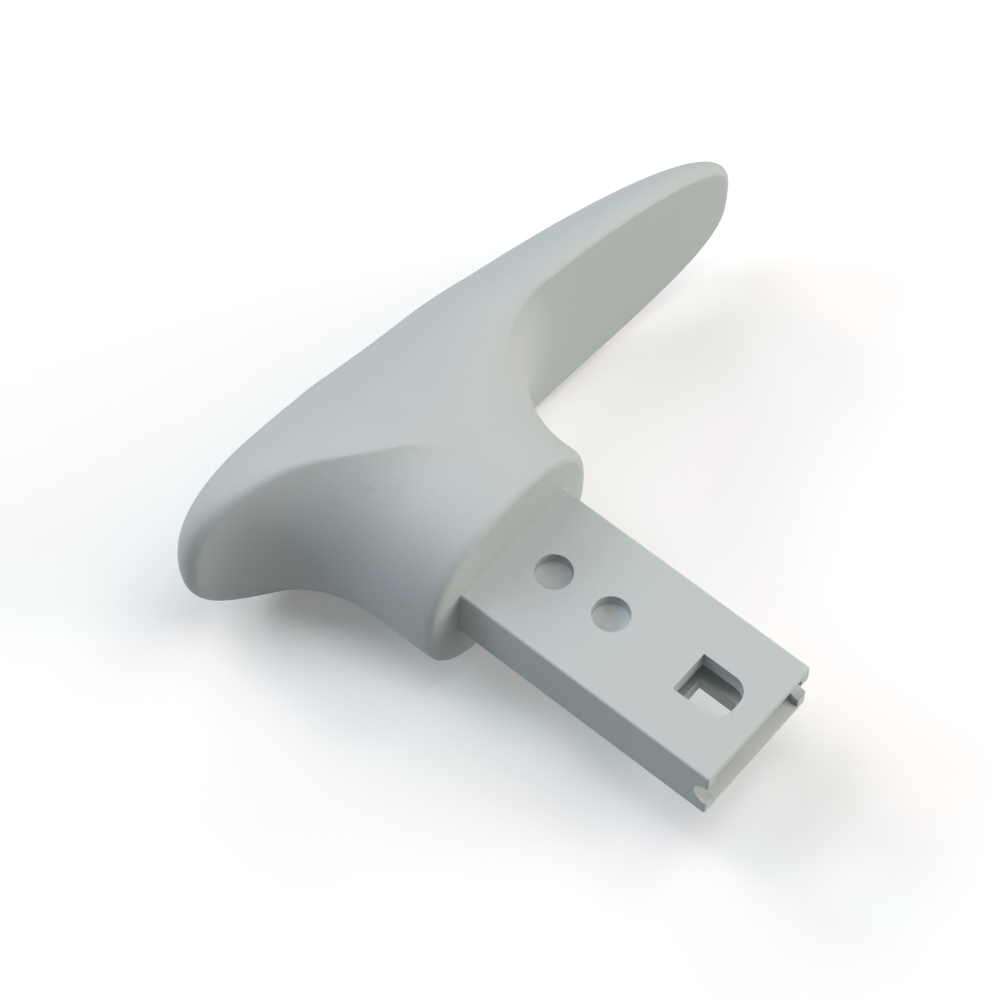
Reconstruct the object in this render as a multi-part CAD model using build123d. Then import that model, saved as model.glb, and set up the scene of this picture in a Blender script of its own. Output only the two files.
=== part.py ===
from build123d import *
import math
import os

# A handle moulded in one piece. The flat face of its collar is at X = 0. The shank runs from that
# face along +X, and the grip lies behind it. The grip's long arm points along +Y and its short arm
# along -Y. Top and bottom are alike about Z = 0. All sizes are in millimetres.

# Shank
shank_length = 48.4
shank_width = 25.0
shank_height = 11.5
shank_root = 6.0          # how far it reaches into the grip
shank_rounding = 0.4      # on its four long edges and around its end

# Pocket, open at the shank's end, where it flares from the slot out to thin lips
pocket_depth = 22.0
broad_wall = 3.4
lip_wall = 1.2
side_wall = 2.0

# Slot through both broad walls, square inboard and rounded outboard
slot_start = 34.6
slot_end = 43.8
slot_width = 7.7
slot_corner = 3.0

# Half-round notch at the end of each side wall
notch_radius = 2.45

# Two blind holes in the top, with drill-point bottoms
hole_places = (8.3, 19.6)
hole_radius = 3.1
hole_wall = 2.3
hole_point_angle = 118.0

# Collar and neck, a rounded square that is set a little towards the short arm
neck_half_width = 18.9
neck_half_height = 18.8
neck_power = 2.36         # 2 would make it an oval
neck_shift = -0.23
rim_radius = 1.5

# Bar of the grip, seen from the shank
long_reach = 75.8
short_reach = 34.7
bar_half_height = 20.6
bar_taper = 0.013         # loss of half height for each millimetre along the long arm
taper_fade = 20.0
long_end_powers = (2.52, 3.29)
short_end_powers = (2.53, 2.53)

# Finger faces, seen from above: a hollow near the neck that runs into a slope on the long arm, and a
# straight face on the short arm
long_face_x = -21.6
long_face_y = 20.4
long_face_slope = 0.154
long_face_hollow = 23.1
short_face_x = -35.8
face_change = (-19.8, 16.2)

# Corner between neck and finger face, and its stretch along X at the short arm
corner_long = 17.8
corner_top = 19.4
corner_short = 20.9
corner_short_stretch = 1.14

# Rounding of the edge between finger face and palm side, small on the arms and large between them
edge_arms = 1.8
edge_top = 33.8
edge_long_change = (-1.2, 32.1)
edge_short_change = (1.9, -4.6)

# Palm side, seen from above
palm_x_middle = -42.5
palm_slope = 0.178
palm_long_powers = (2.1, 2.31)
palm_short_powers = (2.0, 1.89)

# Fineness of the grip's skin
outline_points = 72
rim_rings = 4
face_rings = 24
edge_rings = 8
palm_rings = 24
fine_steps = 60


def ease(value, start, end):
    """Rise smoothly from 0 at start to 1 at end."""
    share = min(max((value - start) / (end - start), 0.0), 1.0)
    return share * share * (3.0 - 2.0 * share)


def mix(first, second, share):
    return first + (second - first) * share


def dome(share, power, root):
    """Fall from 1 to 0 as share goes from 0 to 1, bluntly for high powers."""
    return max(1.0 - min(share, 1.0) ** power, 0.0) ** (1.0 / root)


def spread(points, count):
    """Pick count points, evenly spaced, from a fine line, without its last point."""
    lengths = [0.0]
    for before, after in zip(points, points[1:]):
        lengths.append(lengths[-1] + math.dist(before, after))
    picked = []
    index = 0
    for step in range(count):
        target = lengths[-1] * step / count
        while lengths[index + 1] < target:
            index += 1
        share = (target - lengths[index]) / (lengths[index + 1] - lengths[index])
        picked.append(tuple(mix(a, b, share) for a, b in zip(points[index], points[index + 1])))
    return picked


def half_height(y):
    """Half of the bar's height at a place along its length."""
    if y > 0.0:
        height = bar_half_height - bar_taper * y * ease(y, 0.0, taper_fade)
        return height * dome(y / long_reach, *long_end_powers)
    return bar_half_height * dome(-y / short_reach, *short_end_powers)


def face_line(y):
    """X of the finger faces, seen from above."""
    away = math.hypot(y - long_face_y, long_face_hollow) - long_face_hollow
    long_face = long_face_x + long_face_slope * away
    return mix(short_face_x, long_face, ease(y, *face_change))


def palm_line(y):
    """X of the palm side at mid height, before its ends are rounded."""
    return palm_x_middle + palm_slope * y


def neck_radius(angle):
    """Distance of the neck's skin from the shank's axis."""
    across = abs(math.cos(angle)) / neck_half_width
    upward = abs(math.sin(angle)) / neck_half_height
    centred = (across ** neck_power + upward ** neck_power) ** (-1.0 / neck_power)
    return centred + neck_shift * math.cos(angle)


def corner_and_edge(y, angle):
    """Corner radius, edge radius and stretch along X of the profile that leaves at an angle."""
    to_long = ease(math.cos(angle), 0.0, 1.0)
    to_short = ease(-math.cos(angle), 0.0, 1.0)
    corner = corner_top + (corner_long - corner_top) * to_long + (corner_short - corner_top) * to_short
    on_arm = ease(y, *edge_long_change) + ease(y, *edge_short_change)
    return corner, mix(edge_top, edge_arms, on_arm), mix(1.0, corner_short_stretch, to_short)


def turn_and_run(depth, corner, edge):
    """Turn of the corner and edge arcs, and the straight run between them, for a face this deep."""
    both = corner + edge
    if depth >= both:
        return math.pi / 2, depth - both
    return math.acos(1.0 - depth / both), 0.0


def edge_x(y):
    """X of the bar's outer edge, where the edge rounding meets the palm side."""
    height = half_height(y)
    angle = math.atan2(height, y)
    corner, edge, stretch = corner_and_edge(y, angle)
    turn, _ = turn_and_run(math.hypot(y, height) - neck_radius(angle), corner, edge)
    return face_line(y) + stretch * (corner - (corner + edge) * math.sin(turn))


def palm_x(y, z):
    """X of the palm side, which is half an ellipse in each section across the bar."""
    outer = edge_x(y)
    height = half_height(y)
    if height == 0.0:
        return outer
    ends = dome(y / long_reach, *palm_long_powers) if y > 0.0 else dome(-y / short_reach, *palm_short_powers)
    bulge = math.sqrt(max(1.0 - (z / height) ** 2, 0.0))
    return outer + (palm_line(y) - outer) * ends * bulge


def bar_outline():
    """Evenly spaced points of the bar's upper outline from the long tip to the short tip."""
    line = []
    steps = fine_steps * fine_steps
    for step in range(steps + 1):
        cosine = math.cos(math.pi * step / steps)
        y = cosine * (long_reach if cosine > 0.0 else short_reach)
        line.append((y, half_height(y)))
    return spread(line, outline_points) + [(-short_reach, 0.0)]


def profile(y_end, z_end):
    """Points from the collar over neck, finger face and edge to the middle of the palm side."""
    reach = math.hypot(y_end, z_end)
    angle = math.atan2(z_end, y_end)
    cosine = math.cos(angle)
    sine = math.sin(angle)
    neck = neck_radius(angle)
    corner, edge, stretch = corner_and_edge(y_end, angle)
    turn, run = turn_and_run(reach - neck, corner, edge)

    points = []
    for step in range(rim_rings):
        around = math.pi / 2 * step / rim_rings
        points.append((rim_radius * (math.cos(around) - 1.0), neck + rim_radius * (math.sin(around) - 1.0)))

    face = [(-rim_radius, neck)]
    for step in range(fine_steps + 1):
        around = turn * step / fine_steps
        out = neck + corner * (1.0 - math.cos(around))
        face.append((face_line(out * cosine) + stretch * corner * (1.0 - math.sin(around)), out))
    corner_end = stretch * corner * (1.0 - math.sin(turn))
    if run > 0.0:
        for step in range(1, fine_steps + 1):
            out = neck + corner + run * step / fine_steps
            face.append((face_line(out * cosine) + corner_end, out))
    points += spread(face, face_rings)

    for step in range(edge_rings):
        around = turn * (1.0 - step / edge_rings)
        out = reach - edge * (1.0 - math.cos(around))
        drop = stretch * (corner - (corner + edge) * math.sin(turn) + edge * math.sin(around))
        points.append((face_line(out * cosine) + drop, out))

    for step in range(palm_rings + 1):
        out = reach * math.cos(math.pi / 2 * step / palm_rings)
        points.append((palm_x(out * cosine, out * sine), out))
    return [(x, out * cosine, out * sine) for x, out in points]


def half_ring(points, side):
    """Upper (side 1) or lower (side -1) half of a ring, which crosses the mid plane squarely."""
    count = len(points) - 1
    shares = [index / count for index in range(count + 1)]
    line = [(x, y, side * z) for x, y, z in points]
    leaving = (0.0, 0.0, line[1][2] * count)
    arriving = (0.0, 0.0, -line[-2][2] * count)
    return Edge.make_spline(line, tangents=(leaving, arriving), parameters=shares, scale=False)


def grip():
    """The grip, neck and collar as one loft through closed rings, ending in the palm's middle."""
    lines = [profile(y, z) for y, z in bar_outline()]
    *open_rings, last = zip(*lines)
    rings = [Wire([half_ring(points, 1), half_ring(points, -1)]) for points in open_rings]
    return Solid.make_loft(rings + [Vertex(*last[0])])


def shank_bar():
    """The bar that slides into the seat, with softened edges."""
    length = shank_length + shank_root
    body = Pos(shank_length - length / 2, 0, 0) * Box(length, shank_width, shank_height)
    long_edges = body.edges().filter_by(Axis.X)
    end_edges = body.faces().sort_by(Axis.X)[-1].edges()
    return fillet(long_edges + end_edges, shank_rounding)


def pocket():
    """A flat hollow between the side walls, drawn from above the mid plane and mirrored below it."""
    floor = shank_length - pocket_depth
    inside = shank_height / 2 - broad_wall
    mouth = shank_height / 2 - lip_wall
    upper = [(floor, inside), (slot_end, inside), (shank_length, mouth)]
    lower = [(x, -z) for x, z in reversed(upper)]
    outline = Plane.XZ * make_face(Polyline(*upper, *lower, close=True))
    return extrude(outline, shank_width / 2 - side_wall, both=True)


def slot():
    length = slot_end - slot_start
    body = Pos((slot_start + slot_end) / 2, 0, 0) * Box(length, slot_width, 2 * shank_height)
    outboard = body.edges().filter_by(Axis.Z).group_by(Axis.X)[-1]
    return fillet(outboard, slot_corner)


def end_notch():
    return Pos(shank_length, 0, 0) * Rot(90, 0, 0) * Cylinder(notch_radius, 2 * shank_width)


def blind_hole(x):
    """A hole with a short wall and a conical bottom, open at the shank's top."""
    point_depth = hole_radius / math.tan(math.radians(hole_point_angle / 2))
    top = shank_height / 2
    mouth = Pos(x, 0, top) * Cylinder(hole_radius, 2 * hole_wall)
    cone = Cone(0.0, hole_radius, point_depth)
    return mouth + Pos(x, 0, top - hole_wall - point_depth / 2) * cone


def shank():
    body = shank_bar() - pocket() - slot() - end_notch()
    for x in hole_places:
        body -= blind_hole(x)
    return body


os.makedirs("parts", exist_ok=True)
export_step(shank() + grip(), "parts/seat_adjuster_handle.step")
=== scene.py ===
import math

import bpy
from mathutils import Euler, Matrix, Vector


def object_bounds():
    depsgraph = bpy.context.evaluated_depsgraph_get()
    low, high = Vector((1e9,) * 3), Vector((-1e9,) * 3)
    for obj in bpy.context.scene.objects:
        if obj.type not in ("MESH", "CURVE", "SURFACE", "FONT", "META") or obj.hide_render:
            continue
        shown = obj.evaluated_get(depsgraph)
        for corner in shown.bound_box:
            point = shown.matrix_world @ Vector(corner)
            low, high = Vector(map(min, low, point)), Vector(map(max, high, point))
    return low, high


# Looks of the seat adjuster handle, in metres and degrees. The shank points along +X, the long arm along +Y,
# and the broad side with the two blind holes faces up.

# Plastic: a pale cool grey with a slow, faint drift of tone and a fine eroded grain
tone_low = (0.505, 0.545, 0.545, 1.0)
tone_high = (0.535, 0.575, 0.575, 1.0)
tone_stops = (0.35, 0.65)
drift_scale = 35.0
drift_detail = 3.0
grain_scale = 2600.0
grain_detail = 2.0
grain_share = 0.55        # of the changes in tone, the rest is drift
grain_depth = 0.00004
grain_strength = 0.35
smoothest = 0.5
roughest = 0.62
plastic_ior = 1.48

# Floor: the camera and reflections see white paint with a faint glow of its own, which keeps the part's
# shadow pale. The part gets only the bounce of a plain matt paint.
floor_size = 6.0
floor_seen = (0.85, 0.85, 0.85, 1.0)
floor_glow = 0.2
floor_bounce = (0.52, 0.52, 0.52, 1.0)

# Room light and lamps. A lamp's place is its direction from the part, as an azimuth from +X towards +Y and
# an elevation, and its strength is in watts of red, green and blue.
room_light = (0.0, 0.002, 0.007, 1.0)
lamp_distance = 1.0
lamp_width = 0.4
lamps = (
    ("overhead", 0.0, 88.0, (1.4, 1.65, 1.6)),
    ("ceiling_front", 22.0, 64.0, (1.45, 1.05, 0.95)),
    ("ceiling_right", 68.0, 64.0, (1.35, 1.4, 1.3)),
    ("ceiling_left", 202.0, 64.0, (1.95, 1.75, 1.95)),
    ("front_window", 36.0, 36.0, (1.75, 1.65, 1.8)),
    ("corner_window", 144.0, 36.0, (0.75, 1.1, 1.05)),
    ("back_window", 180.0, 36.0, (2.3, 1.65, 1.5)),
    ("left_window", 216.0, 36.0, (1.45, 2.25, 2.55)),
    ("right_glow", 45.0, 12.0, (2.75, 2.2, 2.0)),
    ("front_glow", 15.0, 12.0, (1.4, 1.9, 1.55)),
)

# Camera
lens = 151.2
sensor = 36.0
camera_place = (0.188167, -0.249221, 0.571077)
camera_turn = (29.44347, -1.26683, 39.69334)
view_limit = 10.0

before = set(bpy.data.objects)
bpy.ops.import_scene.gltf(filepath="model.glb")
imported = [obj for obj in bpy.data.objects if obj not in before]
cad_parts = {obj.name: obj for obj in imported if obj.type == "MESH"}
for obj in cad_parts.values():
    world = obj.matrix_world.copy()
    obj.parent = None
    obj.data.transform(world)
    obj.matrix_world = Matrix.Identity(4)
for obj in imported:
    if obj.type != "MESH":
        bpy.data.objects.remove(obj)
cad_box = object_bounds()
floor_z = cad_box[0][2]


def new_material(name):
    """An empty node material, its nodes and links, and its output."""
    material = bpy.data.materials.new(name)
    material.use_nodes = True
    nodes = material.node_tree.nodes
    nodes.clear()
    return material, nodes, material.node_tree.links, nodes.new("ShaderNodeOutputMaterial")


def noise(nodes, links, place, scale, detail):
    """The value of a noise texture that is fixed to the part."""
    texture = nodes.new("ShaderNodeTexNoise")
    texture.inputs["Scale"].default_value = scale
    texture.inputs["Detail"].default_value = detail
    links.new(place.outputs["Object"], texture.inputs["Vector"])
    return texture.outputs["Fac"]


def handle_plastic():
    """Pale grey moulded plastic with a very fine eroded grain."""
    material, nodes, links, output = new_material("handle_plastic")
    shader = nodes.new("ShaderNodeBsdfPrincipled")
    shader.inputs["IOR"].default_value = plastic_ior
    links.new(shader.outputs["BSDF"], output.inputs["Surface"])
    place = nodes.new("ShaderNodeTexCoord")

    drift = noise(nodes, links, place, drift_scale, drift_detail)
    grain = noise(nodes, links, place, grain_scale, grain_detail)
    both = nodes.new("ShaderNodeMix")
    both.inputs["Factor"].default_value = grain_share
    links.new(drift, both.inputs["A"])
    links.new(grain, both.inputs["B"])
    tone = nodes.new("ShaderNodeValToRGB")
    colors = (tone_low, tone_high)
    for stop, position, color in zip(tone.color_ramp.elements, tone_stops, colors):
        stop.position = position
        stop.color = color
    links.new(both.outputs["Result"], tone.inputs["Fac"])
    links.new(tone.outputs["Color"], shader.inputs["Base Color"])

    bump = nodes.new("ShaderNodeBump")
    bump.inputs["Strength"].default_value = grain_strength
    bump.inputs["Distance"].default_value = grain_depth
    links.new(grain, bump.inputs["Height"])
    links.new(bump.outputs["Normal"], shader.inputs["Normal"])

    rough = nodes.new("ShaderNodeMapRange")
    rough.inputs["To Min"].default_value = smoothest
    rough.inputs["To Max"].default_value = roughest
    links.new(grain, rough.inputs["Value"])
    links.new(rough.outputs["Result"], shader.inputs["Roughness"])
    return material


def floor_paint():
    """Matt paint that the camera and reflections see as white, with the part's shadow on it."""
    material, nodes, links, output = new_material("floor_paint")
    paint = nodes.new("ShaderNodeBsdfDiffuse")
    paint.inputs["Color"].default_value = floor_seen
    glow = nodes.new("ShaderNodeEmission")
    glow.inputs["Strength"].default_value = floor_glow
    seen = nodes.new("ShaderNodeAddShader")
    links.new(paint.outputs["BSDF"], seen.inputs[0])
    links.new(glow.outputs["Emission"], seen.inputs[1])
    bounce = nodes.new("ShaderNodeBsdfDiffuse")
    bounce.inputs["Color"].default_value = floor_bounce

    path = nodes.new("ShaderNodeLightPath")
    looked_at = path.outputs["Is Camera Ray"]
    for ray in ("Is Glossy Ray", "Is Transmission Ray"):
        either = nodes.new("ShaderNodeMath")
        either.operation = "MAXIMUM"
        links.new(looked_at, either.inputs[0])
        links.new(path.outputs[ray], either.inputs[1])
        looked_at = either.outputs["Value"]
    mix = nodes.new("ShaderNodeMixShader")
    links.new(looked_at, mix.inputs["Fac"])
    links.new(bounce.outputs["BSDF"], mix.inputs[1])
    links.new(seen.outputs["Shader"], mix.inputs[2])
    links.new(mix.outputs["Shader"], output.inputs["Surface"])
    return material


def add_floor():
    bpy.ops.mesh.primitive_plane_add(size=floor_size, location=(0.0, 0.0, floor_z))
    floor = bpy.context.object
    floor.name = "floor"
    floor.data.materials.append(floor_paint())


def add_lamp(name, azimuth, elevation, watts):
    """A round soft lamp, aimed at the part."""
    lamp = bpy.data.lights.new(name, "AREA")
    lamp.shape = "DISK"
    lamp.size = lamp_width
    lamp.energy = max(watts)
    lamp.color = [share / max(watts) for share in watts]
    turn = Euler((0.0, -math.radians(elevation), math.radians(azimuth)))
    toward = turn.to_matrix() @ Vector((1.0, 0.0, 0.0))
    holder = bpy.data.objects.new(name, lamp)
    holder.location = lamp_distance * toward
    holder.rotation_euler = (-toward).to_track_quat("-Z", "Y").to_euler()
    bpy.context.collection.objects.link(holder)


def add_room():
    world = bpy.data.worlds.new("room")
    world.use_nodes = True
    background = world.node_tree.nodes["Background"]
    background.inputs["Color"].default_value = room_light
    bpy.context.scene.world = world


def add_camera():
    data = bpy.data.cameras.new("camera")
    data.lens = lens
    data.sensor_width = sensor
    data.clip_end = view_limit
    camera = bpy.data.objects.new("camera", data)
    camera.location = camera_place
    camera.rotation_euler = [math.radians(angle) for angle in camera_turn]
    bpy.context.collection.objects.link(camera)
    bpy.context.scene.camera = camera


plastic = handle_plastic()
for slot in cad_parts["seat_adjuster_handle"].material_slots:
    slot.material = plastic

add_floor()
for lamp_row in lamps:
    add_lamp(*lamp_row)
add_room()
add_camera()
bpy.context.scene.view_settings.view_transform = "Standard"
